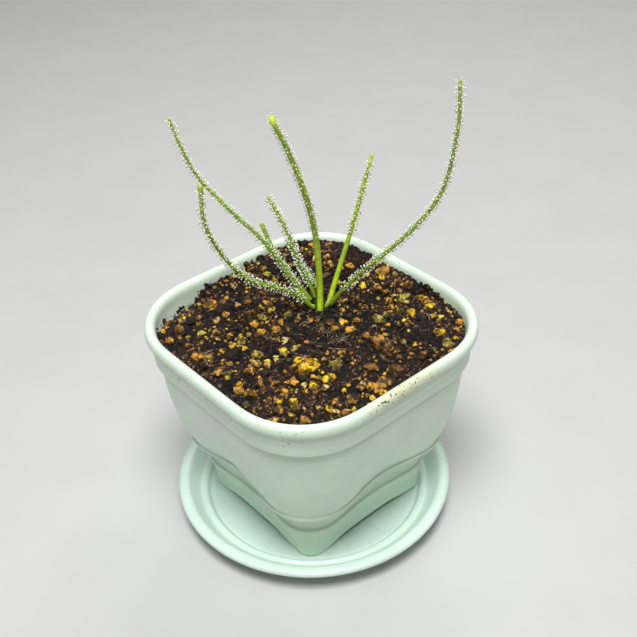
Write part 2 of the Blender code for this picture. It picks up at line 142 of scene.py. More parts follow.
# Each leaf: points of its centre line, radius at base and at tip, bare length at the base and at the tip, mm,
# how large its drops are and how many its tentacles, as a share, and its finish
LEAVES = {
    "leaf_1": ([(6.73, 8.0, 58.0), (4.2, 13.1, 66.4), (0.2, 18.7, 76.8), (-3.5, 23.4, 83.0),
                (-9.2, 30.7, 93.5), (-11.5, 33.8, 101.7), (-13.0, 35.7, 109.9)], 0.62, 0.34, 5.0, 0.0, 1.0, "olive"),
    "leaf_2": ([(6.53, 6.16, 58.1), (1.2, 9.3, 64.3), (-9.2, 12.6, 71.4), (-15.0, 14.4, 79.8),
                (-19.0, 15.6, 90.5), (-19.1, 15.6, 101.0)], 0.62, 0.45, 3.5, 0.8, 1.0, "olive"),
    "leaf_3": ([(8.28, 9.45, 58.2), (7.1, 12.9, 62.2), (4.2, 18.8, 71.2), (3.2, 22.4, 78.8)],
               0.66, 0.55, 3.0, 0.0, 0.8, "olive"),
    "leaf_4": ([(9.93, 9.55, 58.3), (10.0, 11.7, 61.7), (9.7, 15.2, 67.0), (9.6, 20.3, 75.4),
                (9.5, 26.9, 82.8)], 0.6, 0.45, 3.5, 0.0, 1.3, "olive"),
    "leaf_5": ([(7.29, 4.41, 57.9), (8.7, 5.8, 66.0), (8.6, 7.0, 81.3), (5.4, 6.9, 94.1),
                (1.0, 6.8, 106.4), (-2.3, 6.8, 113.7), (-3.3, 6.5, 116.1)], 0.9, 0.66, 21.5, 0.3, 0.9, "bright"),
    "leaf_6": ([(12.11, 5.94, 58.1), (14.5, 6.5, 61.9), (17.9, 7.1, 67.8), (22.2, 7.3, 76.8),
                (26.3, 7.7, 85.8), (30.4, 8.2, 94.7)], 0.78, 0.45, 19.0, 2.2, 1.1, "bright"),
    "leaf_7": ([(10.78, 4.33, 58.0), (13.6, 1.2, 63.8), (17.8, -4.2, 71.5), (24.1, -12.4, 82.9),
                (28.6, -18.2, 94.7), (30.4, -20.5, 111.1), (30.4, -20.4, 123.2)], 0.66, 0.4, 6.0, 0.0, 1.0, "olive"),
    "leaf_8": ([(11.29, 8.72, 58.2), (12.2, 11.9, 61.0), (12.8, 17.0, 63.4), (14.0, 22.4, 65.0)],
               0.55, 0.42, 2.5, 0.0, 0.8, "olive"),
}

# The leaf whose tip is still rolled up: radius of the roll, how much tighter it gets at each point, the turn from
# one point to the next, the bare end, and the length under it where the hairs are short, in mm and radians
CURLED = "leaf_5"
CURL_RADIUS, CURL_TIGHTER, CURL_TURN, CURL_BARE, UNCURLING = 0.9, 0.05, 0.55, 0.6, 7.0
# The leaf whose tip swells: its last radii, mm
SWOLLEN, SWOLLEN_RADII = "leaf_2", [0.5, 0.6, 0.7, 0.72]

# Turn from one tentacle to the next, in radians
GOLDEN_ANGLE = 2.39996

# The large granules that lie open on the soil: place on it and width, mm
LARGE_GRANULES = {
    "kanuma": [(-10.5, -11.5, 6.4), (-10.0, -19.2, 3.4), (22.9, -26.0, 3.6), (25.2, -13.7, 3.0), (31.1, -13.3, 3.4),
               (30.8, -15.6, 3.2), (31.3, -11.2, 2.8), (9.2, -3.8, 2.6), (13.1, -5.8, 3.0), (30.5, 3.1, 2.4),
               (-9.2, 8.2, 2.4), (-10.6, -2.9, 2.8), (-21.6, 8.8, 2.4), (-18.1, 8.7, 2.2), (-14.3, -18.9, 2.4)],
    "zeolite": [(-4.9, -15.7, 3.5), (21.7, -29.6, 3.0), (16.6, -9.9, 3.4), (-4.9, 12.7, 3.0), (0.9, 9.2, 3.0),
                (-15.4, 8.0, 2.8), (-16.4, 0.8, 3.4)],
    "akadama": [(-4.3, -29.4, 4.0), (1.0, -23.3, 4.0), (32.4, -5.5, 3.0), (-11.6, 26.7, 3.4), (-5.9, 6.3, 2.6),
                (-22.3, -3.8, 3.0), (-20.4, -14.3, 2.8), (-24.2, -11.3, 2.6), (6.1, 16.1, 2.6), (19.3, 14.7, 2.6)],
    "fired_clay": [(9.8, -18.6, 6.0), (5.1, -28.7, 5.0), (-0.8, -29.2, 4.2), (-10.4, -28.6, 3.6), (32.2, 4.4, 4.0),
                   (-27.7, 1.5, 3.2), (-26.3, -20.2, 2.8)],
    "pumice": [(-2.3, 28.8, 3.0), (-12.5, 9.5, 2.0), (-6.8, 1.1, 2.4), (-25.8, -0.2, 1.8), (-13.0, -2.3, 2.0),
               (-17.5, -4.9, 2.2), (-15.6, -16.6, 2.0), (-16.6, -29.4, 1.8)],
    "peat_clump": [(-20.8, 4.8, 5.0)],
}

# Long pale root threads on the bare peat in front of the crown, mm
LONG_FIBRES = [[(-3.7, -3.7), (-3.5, -6.4), (-2.4, -9.1), (-0.2, -12.4), (2.2, -14.7)],
               [(8.3, -8.1), (9.3, -10.5), (9.4, -14.3)], [(13.2, -3.0), (15.4, -3.6), (16.8, -5.6)]]

# Middling granules among them, at the same places as in the solid: how many, and radius in mm
MIDDLING = 56
MIDDLING_RADII = (0.85, 1.35)

# How many of each hundred small granules are of each kind
SMALL_SHARES = {"kanuma": 18, "zeolite": 13, "akadama": 28, "fired_clay": 17, "pumice": 9, "peat_clump": 15}

# Each kind's finish: name, dark colour, light colour, roughness
GRAINS = {
    # Soft weathered pumice, clear yellow
    "kanuma": ("kanuma_pumice", "#D0960E", "#FFDA2A", 0.5),
    # Tuff broken to size, olive to khaki
    "zeolite": ("crushed_zeolite", "#8A7826", "#D6C050", 0.5),
    # Baked volcanic clay, orange-brown
    "akadama": ("akadama_clay", "#9C6514", "#ECAE38", 0.5),
    # Harder fired clay, dark red-brown, nearly black where wet
    "fired_clay": ("fired_red_clay", "#4E3213", "#C48E36", 0.5),
    # Washed pumice, pale grey-cream
    "pumice": ("washed_pumice", "#C89C4C", "#F4DC8C", 0.55),
    # Peat in clumps, the darkest thing in the pot
    "peat_clump": ("clumped_peat", "#140E0B", "#33221A", 0.9),
}

# How far a granule's middle stands above the peat, as a share of its radius
GRAIN_LIFT = 0.12

# Each light: side of its square, place and what it points at, m
KEY_LIGHT = (0.36, (-0.17, -0.17, 0.8), (0.0, 0.0, 0.05))
BACK_LIGHT = (0.4, (0.42, 0.24, 0.62), (0.0, 0.0, 0.06))

# The photograph's view, worked out from the pot's outline: place and target from the middle of the pot in mm,
# roll in degrees, and focal length on a 36 mm sensor
VIEW_FROM, VIEW_AT = (-130.92, -157.95, 209.86), (1.68, -1.42, 60.95)
VIEW_ROLL, VIEW_LENS = -2.102, 54.8


# Materials. A pattern's Scale is how many of its cells fit in a metre: 2000 is one every 0.5 mm

# The inputs of a Mix node that is set to colours
SHARE, UNDER, OVER = 0, 6, 7


def linear(code):
    """An sRGB hex colour as linear RGBA."""
    parts = [int(code[i:i + 2], 16) / 255 for i in (1, 3, 5)]
    return [*(c / 12.92 if c <= 0.04045 else ((c + 0.055) / 1.055) ** 2.4 for c in parts), 1.0]


def darkened(colour, share):
    """A colour at a share of its brightness."""
    return [c * share for c in colour[:3]] + [1.0]


def new_material(name):
    """A material, what adds a node to it, its Object coordinates and its shader."""
    made = bpy.data.materials.new(name)
    made.use_nodes = True
    add = functools.partial(add_node, made.node_tree)
    return made, add, add("TexCoord").outputs["Object"], made.node_tree.nodes["Principled BSDF"]


def feed(node, inputs):
    """Sets each input to a value or links another node's output to it; a node stands for its one live output."""
    for key, value in inputs.items():
        if isinstance(value, bpy.types.Node):
            value = next(output for output in value.outputs if output.enabled)
        if isinstance(value, bpy.types.NodeSocket):
            node.id_data.links.new(value, node.inputs[key])
        else:
            node.inputs[key].default_value = value


def add_node(tree, kind, inputs=None, stops=None, **settings):
    """A shader node of a kind, with its inputs and settings; a ramp takes its stops too."""
    node = tree.nodes.new("ShaderNode" + kind)
    for key, value in settings.items():
        setattr(node, key, value)
    feed(node, inputs or {})
    if stops:
        ramp = node.color_ramp.elements
        while len(ramp) < len(stops):
            ramp.new(0.5)
        for element, (place, colour) in zip(ramp, stops):
            element.position = place
            element.color = colour
    return node


def moulded_polypropylene(name, colour, soiled):
    """Polypropylene from a satin-polished mould: soft wide gloss, faint clouding, a few specks of soil."""
    made, add, place, shader = new_material(name)
    clouds = add("TexNoise", {"Vector": place, "Scale": 90.0, "Detail": 3.0})
    surface = add("ValToRGB", {"Fac": clouds}, [(0.3, darkened(colour, 0.93)), (0.65, list(colour))])
    # Gloss wanders a little, as on a part that has been handled and watered: marks of about 6 mm
    wear = add("TexNoise", {"Vector": place, "Scale": 160.0, "Detail": 4.0})
    gloss = add("MapRange", {"Value": wear, "To Min": 0.26, "To Max": 0.44})
    # The mould's fine texture is some 0.05 mm; it is drawn at 0.5 mm so that it can show
    grain = add("TexNoise", {"Vector": place, "Scale": 2000.0, "Detail": 2.0})
    relief = add("Bump", {"Height": grain, "Strength": 0.05, "Distance": 0.0001})
    if soiled:
        surface = soil_marks(add, place, surface)
    else:
        relief = floor_ribs(add, place, relief)
    feed(shader,
         {"Base Color": surface, "Roughness": gloss, "Normal": relief, "IOR": 1.49, "Subsurface Weight": 0.08,
          "Subsurface Scale": 0.002})
    return made


def floor_ribs(add, place, normal):
    """Sixteen faint ribs that run out across the saucer's floor, each about 0.4 mm wide."""
    turn = add("TexGradient", {"Vector": place}, gradient_type="RADIAL")
    sectors = add("Math", {0: turn.outputs["Fac"], 1: 16.0}, operation="MULTIPLY")
    near = add("Math", {0: sectors, 1: 0.5}, operation="PINGPONG")
    rib = add("MapRange", {"Value": near, "From Max": 0.03, "To Min": 1.0, "To Max": 0.0})
    heights = add("SeparateXYZ", {"Vector": place})
    floor = add("MapRange", {"Value": heights.outputs["Z"], "From Min": 0.0026, "From Max": 0.0023})
    raised = add("Math", {0: rib, 1: floor}, operation="MULTIPLY")
    return add("Bump", {"Height": raised, "Strength": 0.5, "Distance": 0.0002, "Normal": normal})


def soil_marks(add, place, surface):
    """Fine specks on the upper wall, and a yellow-brown smear along the front right of the lip."""
    heights = add("SeparateXYZ", {"Vector": place})
    high = add("MapRange", {"Value": heights.outputs["Z"], "From Min": 0.050, "From Max": 0.0585})
    # The smear runs 34 mm along the lip and 8 mm across it
    laid = add("Mapping", {"Vector": place, "Location": (0.1, 8.2, -13.2), "Scale": (52.0, 217.0, 217.0)})
    along = add("TexGradient", {"Vector": laid}, gradient_type="SPHERICAL")
    broken = add("TexNoise", {"Vector": place, "Scale": 500.0, "Detail": 5.0})
    patch = add("Math", {0: along.outputs["Fac"], 1: broken}, operation="MULTIPLY")
    smear = add("MapRange", {"Value": patch, "From Min": 0.08, "From Max": 0.45, "To Max": 0.6})
    smeared = add("Mix", {SHARE: smear, UNDER: surface, OVER: linear("#D3CB8C")}, data_type="RGBA")
    # Specks of 0.2 to 0.5 mm, most in the smear, the rest where a slower noise lets them gather
    grit = add("TexNoise", {"Vector": place, "Scale": 1500.0, "Detail": 2.0})
    gather = add("TexNoise", {"Vector": place, "Scale": 85.0, "Detail": 2.0})
    where = add("MapRange",
                {"Value": gather, "From Min": 0.42, "From Max": 0.7, "To Min": -0.1, "To Max": 0.07})
    more = add("Math", {0: smear, 1: 0.3, 2: where}, operation="MULTIPLY_ADD")
    thick = add("Math", {0: grit, 1: more}, operation="ADD")
    speck = add("MapRange", {"Value": thick, "From Min": 0.69, "From Max": 0.73})
    amount = add("Math", {0: speck, 1: high}, operation="MULTIPLY")
    return add("Mix", {SHARE: amount, UNDER: smeared, OVER: linear("#4B3A22")}, data_type="RGBA")


def milled_peat(name, dark, brown):
    """Damp milled peat: nearly black crumbs and red-brown fibre, dull with small wet glints."""
    made, add, place, shader = new_material(name)
    # Crumbs of about 0.5 mm, each with its own brown
    crumbs = add("TexVoronoi", {"Vector": place, "Scale": 2000.0})
    own = add("SeparateColor", {"Color": crumbs.outputs["Color"]})
    tone = add("ValToRGB", {"Fac": own.outputs["Red"]},
               [(0.0, list(dark)), (0.55, list(brown)), (0.86, linear("#4A2A1B")), (0.985, linear("#A67C54"))])
    drifts = add("TexNoise", {"Vector": place, "Scale": 110.0, "Detail": 3.0})
    damp = add("MapRange", {"Value": drifts, "From Min": 0.4, "From Max": 0.62})
    mixed = add("Mix", {SHARE: damp, UNDER: tone, OVER: list(dark)}, data_type="RGBA")
    # Darker round the crown and in front of it, out to 13 mm
    laid = add("Mapping", {"Vector": place, "Location": (-0.54, 0.0, -4.4), "Scale": (77.0, 77.0, 77.0)})
    middle = add("TexGradient", {"Vector": laid}, gradient_type="SPHERICAL")
    darker_near_crown = add("MapRange", {"Value": middle.outputs["Fac"], "From Max": 0.5, "To Max": 0.88})
    wet = add("Mix", {SHARE: darker_near_crown, UNDER: mixed, OVER: linear("#0D0806")}, data_type="RGBA")
    fibre = add("TexNoise", {"Vector": place, "Scale": 2600.0, "Detail": 4.0, "Distortion": 1.2})
    relief = add("Bump", {"Height": fibre, "Strength": 1.0, "Distance": 0.0007})
    feed(shader, {"Base Color": wet, "Normal": relief, "Roughness": 0.6, "Specular IOR Level": 0.4})
    return made


def mineral_grain(name, dark, light, roughness):
    """Crushed porous rock or baked clay: matt, each grain its own shade, with pits of about 0.3 mm."""
    made, add, place, shader = new_material(name)
    dark = linear(dark)
    grains = add("TexVoronoi", {"Vector": place, "Scale": 380.0})
    own = add("SeparateColor", {"Color": grains.outputs["Color"]})
    stains = add("TexNoise", {"Vector": place, "Scale": 1600.0, "Detail": 5.0})
    both = add("Mix", {SHARE: 0.65, 2: own.outputs["Red"], 3: stains})
    tone = add("ValToRGB", {"Fac": both}, [(0.3, darkened(dark, 0.35)), (0.45, dark), (0.62, linear(light))])
    # Wet peat dust that clings to the grains, in patches of about a millimetre
    dust = add("TexNoise", {"Vector": place, "Scale": 640.0, "Detail": 6.0})
    cling = add("MapRange", {"Value": dust, "From Min": 0.5, "From Max": 0.57, "To Max": 0.88})
    soiled = add("Mix", {SHARE: cling, UNDER: tone, OVER: linear("#24140E")}, data_type="RGBA")
    pits = add("TexNoise", {"Vector": place, "Scale": 3200.0, "Detail": 3.0})
    relief = add("Bump", {"Height": pits, "Strength": 0.8, "Distance": 0.0005})
    feed(shader, {"Base Color": soiled, "Normal": relief, "Roughness": roughness})
    return made


def leaf_skin(name, base, middle, tip):
    """Living leaf, smooth and slightly waxy: each part of its length has its own green, with a faint mottle."""
    made, add, place, shader = new_material(name)
    along = add("Attribute", attribute_name="along")
    tone = add("ValToRGB", {"Fac": along.outputs["Fac"]},
               [(0.0, linear(base)), (0.4, linear(middle)), (0.85, linear(middle)), (1.0, linear(tip))])
    mottle = add("TexNoise", {"Vector": place, "Scale": 900.0, "Detail": 3.0})
    shade = add("MapRange", {"Value": mottle, "From Min": 0.3, "From Max": 0.7, "To Min": 0.72, "To Max": 1.15})
    toned = add("VectorMath", {0: tone, 3: shade}, operation="SCALE")
    veins = add("TexNoise", {"Vector": place, "Scale": 2500.0})
    relief = add("Bump", {"Height": veins, "Strength": 0.2, "Distance": 0.0002})
    feed(shader,
         {"Base Color": toned, "Normal": relief, "Roughness": 0.38, "Subsurface Weight": 0.15,
          "Subsurface Scale": 0.0008})
    return made


def tentacle_stalk(name, dark, light):
    """The thin glandular hairs: pale green threads, soft in gloss, greener here and there."""
    made, add, place, shader = new_material(name)
    mixed = add("TexNoise", {"Vector": place, "Scale": 700.0})
    tone = add("ValToRGB", {"Fac": mixed}, [(0.35, linear(dark)), (0.65, linear(light))])
    feed(shader, {"Base Color": tone, "Roughness": 0.4})
    return made


def mucilage_drop(name, colour):
    """Sticky dew, wet and very glossy; the clear drops are drawn near-white all over, a painted glint for the light
    they catch.
    """
    made, add, place, shader = new_material(name)
    # Painted highlight: the near-white colour stands in for the light that clear drops catch, varied a little at
    # random
    mixed = add("TexNoise", {"Vector": place, "Scale": 600.0})
    tone = add("ValToRGB", {"Fac": mixed}, [(0.4, linear("#E6EBEA")), (0.62, list(colour))])
    feed(shader,
         {"Base Color": tone, "Roughness": 0.12, "IOR": 1.34, "Coat Weight": 0.6, "Coat Roughness": 0.03})
    return made


def studio_paper(name, colour):
    """Matt backdrop paper, with a tooth that only just breaks its flat tone."""
    made, add, place, shader = new_material(name)
    tooth = add("TexNoise", {"Vector": place, "Scale": 40.0, "Detail": 4.0})
    tone = add("ValToRGB", {"Fac": tooth}, [(0.35, darkened(colour, 0.97)), (0.65, list(colour))])
    feed(shader, {"Base Color": tone, "Roughness": 0.9})
    return made


# Modelling helpers

def deselect_all():
    if bpy.context.mode != "OBJECT":
        bpy.ops.object.mode_set(mode="OBJECT")
    bpy.ops.object.select_all(action="DESELECT")


def take(piece):
    """Makes a piece the active one and the only one selected."""
    deselect_all()
    piece.select_set(True)
    bpy.context.view_layer.objects.active = piece


def added(make, **settings):
    """The object that an operator adds, with nothing else selected."""
    deselect_all()
    make(**settings)
    return bpy.context.active_object


def edit(piece, action):
    """Takes a piece into edit mode with all of it selected, or nothing of it."""
    take(piece)
    bpy.ops.object.mode_set(mode="EDIT")
    bpy.ops.mesh.select_all(action=action)


def apply_modifier(piece, kind, **settings):
    take(piece)
    step = piece.modifiers.new(kind.lower(), kind)
    for key, value in settings.items():
        setattr(step, key, value)
    bpy.ops.object.modifier_apply(modifier=step.name)


def displace(piece, pattern, size, strength, direction="NORMAL"):
    """Roughens a piece with a procedural pattern of a size and a strength in metres."""
    texture = bpy.data.textures.new(f"{pattern.lower()}_{size * 1000:.2f}", pattern)
    texture.noise_scale = size
    apply_modifier(piece, "DISPLACE", texture=texture, texture_coords="LOCAL", strength=strength,
                   mid_level=0.5, direction=direction)


def skin(rings):
    """A ring of edges extruded once for each further ring, laid on the rings' points and closed at both ends."""
    piece = added(bpy.ops.mesh.primitive_circle_add, vertices=len(rings[0]), radius=MM)
    edit(piece, "SELECT")
    for _ in rings[1:]:
        bpy.ops.mesh.extrude_region_move(TRANSFORM_OT_translate={"value": (0, 0, MM)})
    bpy.ops.mesh.edge_face_add()
    bpy.ops.mesh.select_all(action="DESELECT")
    bpy.ops.mesh.select_non_manifold()
    bpy.ops.mesh.edge_face_add()
    bpy.ops.object.mode_set(mode="OBJECT")
    piece.data.vertices.foreach_set("co", [c * MM for ring in rings for point in ring for c in point])
    piece.data.update()
    edit(piece, "SELECT")
    bpy.ops.mesh.normals_make_consistent(inside=False)
    bpy.ops.object.mode_set(mode="OBJECT")
    return piece


def hand_over(piece, name, finishes, nodes=(), angle=40.0):
    """Names a finished piece, gives it its finishes and puts it on the packed model."""
    piece.name = name
    piece.data.name = name
    piece.data.materials.clear()
    for finish in finishes:
        piece.data.materials.append(finish)
    take(piece)
    bpy.ops.object.transform_apply(location=True, rotation=True, scale=True)
    bpy.ops.object.shade_smooth_by_angle(angle=math.radians(angle))
    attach(piece, "root")
    if nodes:
        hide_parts(*nodes)
    return piece


def spread(name, templates, places, draw):
    """A copy of one of the templates, each with its own mesh, at every place, made one piece."""
    whole = bmesh.new()
    for place in places:
        copy = draw.choice(templates).data.copy()
        copy.transform(place)
        whole.from_mesh(copy)
        bpy.data.meshes.remove(copy)
    mesh = bpy.data.meshes.new(name)
    whole.to_mesh(mesh)
    whole.free()
    piece = bpy.data.objects.new(name, mesh)
    bpy.context.scene.collection.objects.link(piece)
    return piece


def discard(pieces):
    for piece in pieces:
        bpy.data.objects.remove(piece, do_unlink=True)


def joined(pieces):
    """The pieces as one, under the first one's name."""
    take(pieces[0])
    for piece in pieces:
        piece.select_set(True)
    bpy.ops.object.join()
    return bpy.context.active_object


# Outlines of the pot and the soil

def outline(half, corner, pinch=0.0):
    """A rounded square whose sides curve inwards by pinch at their middle."""
    straight = half - corner
    quarter = []
    for i in range(1, SIDE_POINTS + 1):
        y = straight * (2 * i / (SIDE_POINTS + 1) - 1)
        quarter.append((half - pinch * (1 - (y / straight) ** 2) ** 2, y))
    for i in range(CORNER_POINTS):
        t = math.pi / 2 * i / (CORNER_POINTS - 1)
        quarter.append((straight + corner * math.cos(t), straight + corner * math.sin(t)))
    points = []
    for c, s in ((1, 0), (0, 1), (-1, 0), (0, -1)):
        points += [(x * c - y * s, x * s + y * c) for x, y in quarter]
    return points


def round_ring(x, y, radius, z, sides):
    """Points of a level circle, mm."""
    turns = [math.tau * i / sides for i in range(sides)]
    return [(x + radius * math.cos(t), y + radius * math.sin(t), z) for t in turns]


def square_ring(z, half, corner, pinch=0.0):
    """Points of a level outline round the pot's middle, mm."""
    return [(x + POT_X, y + POT_Y, z) for x, y in outline(half, corner, pinch)]


def bowl_section(z):
    """Half side, corner radius and pinch of the bowl's outside at a height."""
    rows = sorted(BOWL)
    z = min(max(z, rows[0][0]), rows[-1][0])
    for low, high in zip(rows, rows[1:]):
        if z <= high[0]:
            share = (z - low[0]) / (high[0] - low[0])
            return [a + (b - a) * share for a, b in zip(low[1:], high[1:])]


def arched(ring):
    """Raises the foot in a shallow arch along the middle of each side."""
    raised = []
    for x, y, z in ring:
        along = min(abs(x - POT_X), abs(y - POT_Y)) / (FOOT_HALF - FOOT_CORNER)
        t = min(1.0, max(0.0, (ARCH_END - along) / ARCH_FALL))
        low = max(0.0, (ARCH_TOP - z) / (ARCH_TOP - FOOT_HEIGHT))
        raised.append((x, y, z + ARCH_RISE * t * t * (3 - 2 * t) * low))
    return raised


def edge_distance(x, y, half=INNER_HALF):
    """How far a place on the soil is from the pot's inner wall, mm; negative is outside."""
    x, y = abs(x - POT_X), abs(y - POT_Y)
    straight = half - INNER_CORNER
    if x < straight or y < straight:
        return half - max(x, y)
    return INNER_CORNER - math.hypot(x - straight, y - straight)


def from_crown(x, y):
    """How far a place on the soil is from the plant's middle, mm."""
    return math.hypot(x - CROWN[0] - POT_X, y - CROWN[1] - POT_Y)


def at_bearing(bearing, reach):
    """The place that lies so far from the pot's middle on a bearing."""
    return POT_X + reach * math.cos(bearing), POT_Y + reach * math.sin(bearing)


def moved(x, y, z):
    """A shift in mm."""
    return Matrix.Translation(Vector((x, y, z)) * MM)


def stretched(x, y, z):
    """A stretch by a share along each axis."""
    return Matrix.Diagonal((x, y, z, 1.0))


def turned(axis, draw):
    """A turn about an axis by any angle."""
    return Matrix.Rotation(draw.uniform(0, math.tau), 4, axis)


def soil_level(x, y):
    """The soil's own gentle shape, as in the solid, with a broken edge where it meets the wall."""
    x, y = x - POT_X, y - POT_Y
    # Waves of about 17 and 6 mm, a rise to the back from 12 mm out, and level ground round the crown
    wave = noise.noise(Vector((x * 0.06, y * 0.06, 3.7)))
    wave += 0.5 * noise.noise(Vector((x * 0.17, y * 0.17, 9.1)))
    bearing = math.atan2(y, x)
    to_back = max(0.0, math.cos(bearing - math.pi / 4)) ** 5
    outwards = min(1.0, max(0.0, (math.hypot(x, y) - 12.0) / 20.0)) ** 1.5
    rise = (0.6 + 2.6 * to_back) * outwards
    near_crown = math.exp(-((x - CROWN[0]) ** 2 + (y - CROWN[1]) ** 2) / 60.0)
    level = 57.0 + (0.8 * wave + rise) * (1 - near_crown)
    # The last 6 mm run up or down to the listed edge, which is ragged on top of that
    ragged = noise.noise(Vector((bearing * 4.0, 4.0, 1.5)))
    ragged += 0.6 * noise.noise(Vector((bearing * 11.0, 2.0, 7.5)))
    near_wall = max(0.0, 1.0 - edge_distance(x + POT_X, y + POT_Y) / 6.0) ** 1.4
    return level + (edge_level(math.degrees(bearing)) + 0.7 * ragged - level) * near_wall


def edge_level(bearing):
    """Height of the soil at the wall, between the listed bearings."""
    for (a, low), (b, high) in zip(SOIL_EDGE, SOIL_EDGE[1:]):
        if bearing <= b:
            return low + (high - low) * (bearing - a) / (b - a)
    return SOIL_EDGE[-1][1]


# Settings that a user would change

class SundewSaucerSettings(bpy.types.PropertyGroup):
    """Size and colour of the saucer."""
    radius: bpy.props.FloatProperty(
        name="Rim radius", description="Outer radius of the saucer's rim",
        default=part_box("saucer")[1][0], min=0.02, unit="LENGTH")
    steps: bpy.props.IntProperty(
        name="Steps", description="Sides of the turned dish", default=96, min=24)
    plastic: bpy.props.FloatVectorProperty(
        name="Plastic", description="Colour of the saucer's polypropylene",
        default=linear("#DFF4E8"), size=4, min=0, max=1, subtype="COLOR")


class SundewPotSettings(bpy.types.PropertyGroup):
    """Size and colour of the pot."""
    half_side: bpy.props.FloatProperty(
        name="Half side", description="Half the pot's width over its lip",
        default=37.5 * MM, min=0.02, unit="LENGTH")
    corner: bpy.props.FloatProperty(
        name="Corner radius", description="Radius of the lip's corners",
        default=22.1 * MM, min=0.005, unit="LENGTH")
    drain: bpy.props.FloatProperty(
        name="Drain radius", description="Radius of each drain hole in the floor",
        default=2.5 * MM, min=0.0005, unit="LENGTH")
    plastic: bpy.props.FloatVectorProperty(
        name="Plastic", description="Colour of the pot's polypropylene",
        default=linear("#DFF2DE"), size=4, min=0, max=1, subtype="COLOR")


class SundewSoilSettings(bpy.types.PropertyGroup):
    """How the soil looks."""
    cuts: bpy.props.IntProperty(
        name="Cuts", description="Squares along each side of the soil's surface", default=250, min=40)
    granules: bpy.props.IntProperty(
        name="Small granules", description="How many small granules lie on the peat", default=760, min=0)
    crumbs: bpy.props.IntProperty(
        name="Peat crumbs", description="How many loose crumbs lie on the peat", default=7600, min=0)
    fibres: bpy.props.IntProperty(
        name="Fibres", description="How many loose plant fibres lie on the peat", default=200, min=0)
    dark: bpy.props.FloatVectorProperty(
        name="Dark peat", description="Colour of the damp peat",
        default=linear("#0F0909"), size=4, min=0, max=1, subtype="COLOR")
    brown: bpy.props.FloatVectorProperty(
        name="Brown peat", description="Colour of the drier peat",
        default=linear("#2B1811"), size=4, min=0, max=1, subtype="COLOR")


class SundewLeafSettings(bpy.types.PropertyGroup):
    """The tentacles and their dew."""
    per_mm: bpy.props.FloatProperty(
        name="Tentacles per mm", description="Tentacles along each mm of leaf", default=7.5, min=0.5)
    reach: bpy.props.FloatProperty(
        name="Reach", description="How far a tentacle stands off its leaf",
        default=0.72 * MM, min=0.0001, unit="LENGTH")
    drop: bpy.props.FloatProperty(
        name="Drop radius", description="Radius of a drop of dew",
        default=0.19 * MM, min=0.00001, unit="LENGTH")
    # The dew's colour is painted glint: clear drops drawn near-white, as they look where they catch the light
    dew: bpy.props.FloatVectorProperty(
        name="Dew", description="Tint of the dew",
        default=linear("#F9F9DA"), size=4, min=0, max=1, subtype="COLOR")


class SundewStageSettings(bpy.types.PropertyGroup):
    """Floor and light."""
    floor: bpy.props.FloatVectorProperty(
        name="Floor", description="Colour of the floor", size=4, min=0, max=1,
        default=linear("#C9C9C7"), subtype="COLOR")
    key: bpy.props.FloatProperty(
        name="Key light", description="Power of the light high in front", default=7.6, min=0, unit="POWER")
    back: bpy.props.FloatProperty(
        name="Back light", description="Power of the light behind, on the right",
        default=1.5, min=0, unit="POWER")


# Operators, one for each piece or group

class SUNDEW_OT_saucer(bpy.types.Operator):
    """Turns the saucer: flat base, flared wall, rolled rim, and a raised ring round the floor"""
    bl_idname = "sundew.saucer"
    bl_label = "Saucer"

    def execute(self, context):
        settings = context.scene.sundew_saucer
        scale = settings.radius / (max(radius for radius, z in SAUCER_PROFILE) * MM)
        dish = skin([round_ring(0.0, 0.0, radius * scale, z, settings.steps) for radius, z in SAUCER_PROFILE])
        plastic = moulded_polypropylene("moulded_polypropylene_saucer", settings.plastic, False)
        hand_over(dish, "saucer_dish", [plastic], ["saucer"], 60)
        return {"FINISHED"}


class SUNDEW_OT_pot(bpy.types.Operator):
    """Builds the pot from its lip down to its foot, with a hollow foot and drain holes"""
    bl_idname = "sundew.pot"
    bl_label = "Pot"

    def execute(self, context):
        settings = context.scene.sundew_pot
        half_side, corner = settings.half_side / MM, settings.corner / MM
        inside = []
        for z, inset in INSIDE:
            half, round_by, pinch = bowl_section(z + 0.4)
            inside.append(square_ring(z, half - inset, round_by - inset, pinch))
        lip = [square_ring(z, half_side - inset, corner - inset) for inset, z in LIP]
        foot = [(FOOT_HEIGHT + lift, FOOT_HALF - inset, FOOT_CORNER - inset) for inset, lift in FOOT_EDGE]
        outside = [arched(square_ring(*row)) for row in GROOVE + BOWL + WAIST + foot + HOLLOW]
        shell = skin(inside + lip + outside)
        apply_modifier(shell, "SUBSURF", levels=1, render_levels=1)
        self.cut_drains(shell, settings.drain)
        plastic = moulded_polypropylene("moulded_polypropylene_pot", settings.plastic, True)
        hand_over(shell, "pot_shell", [plastic], ["pot"], 60)
        return {"FINISHED"}

    def cut_drains(self, shell, radius):
        """One hole in the middle of the floor and four round it."""
        drills = []
        for x, y in DRAINS:
            place = ((x + POT_X) * MM, (y + POT_Y) * MM, 23 * MM)
            drills.append(added(bpy.ops.mesh.primitive_cylinder_add, vertices=24, radius=radius, depth=8 * MM,
                                location=place))
        drill = joined(drills)
        apply_modifier(shell, "BOOLEAN", operation="DIFFERENCE", solver="EXACT", object=drill)
        discard([drill])


